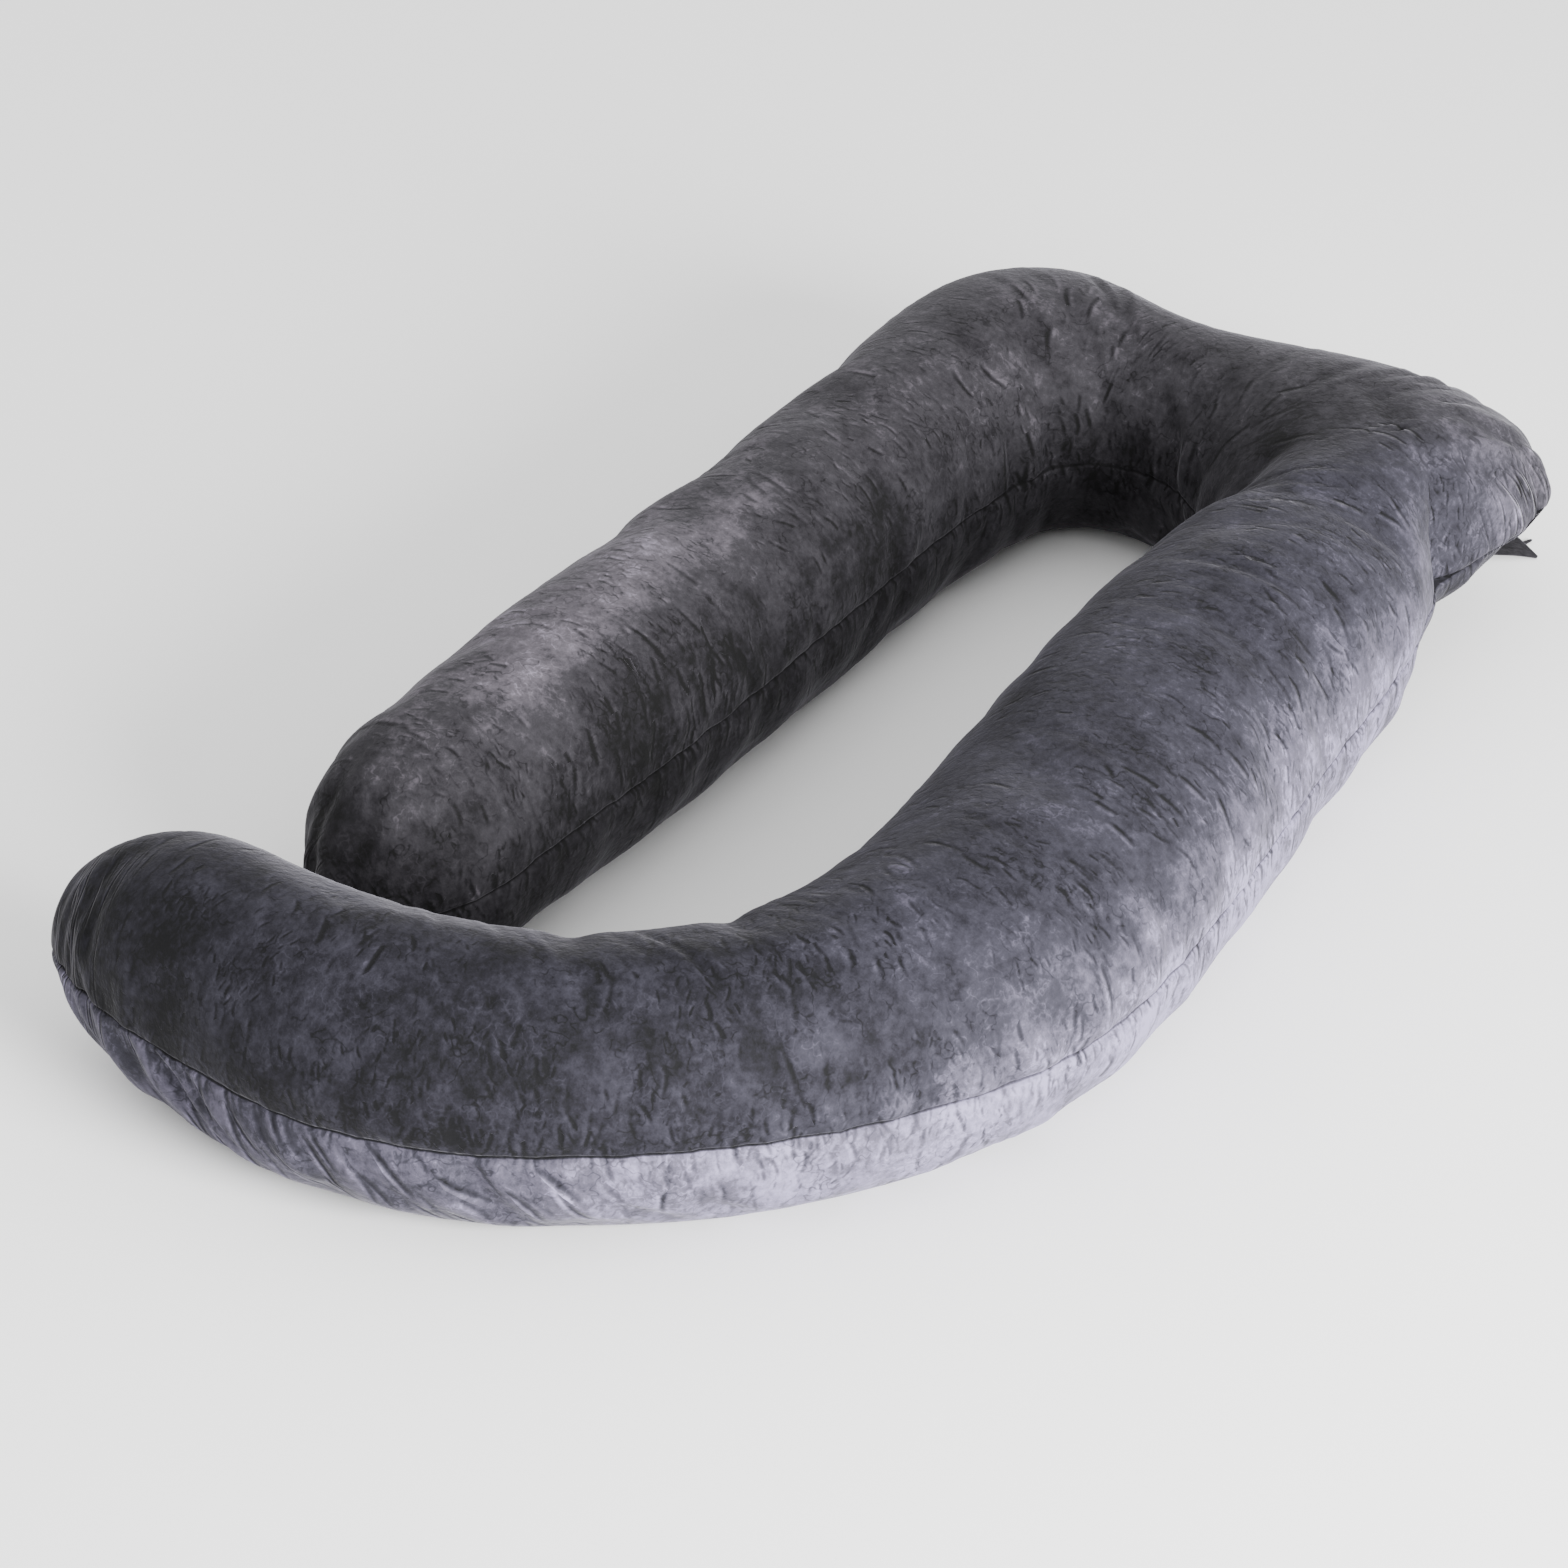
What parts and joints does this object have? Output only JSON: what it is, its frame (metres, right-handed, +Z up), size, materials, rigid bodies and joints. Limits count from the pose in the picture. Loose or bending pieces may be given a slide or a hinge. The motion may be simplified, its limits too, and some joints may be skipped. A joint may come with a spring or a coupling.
{
  "type": "pregnancy pillow",
  "caption": "Filled velvet body pillow that bends round a sleeper, with a short back arm, a head bar, a long front arm whose foot end curls back, and two tie tails at the head.",
  "frame": {"origin": "middle of the outline in plan, on the surface that the pillow lies on", "axes": "+Y runs along the two arms towards the head bar, +X points from the back arm to the front arm, +Z is up"},
  "size_m": [0.7998, 1.5326, 0.2345],
  "materials": {
    "velvet": "short-pile crushed velvet, slate grey",
    "tie_velvet": "short-pile velvet, darker grey"
  },
  "bodies": {
    "root": {"pillow": "velvet", "tie_front": "tie_velvet", "tie_back": "tie_velvet"}
  },
  "joints": []
}
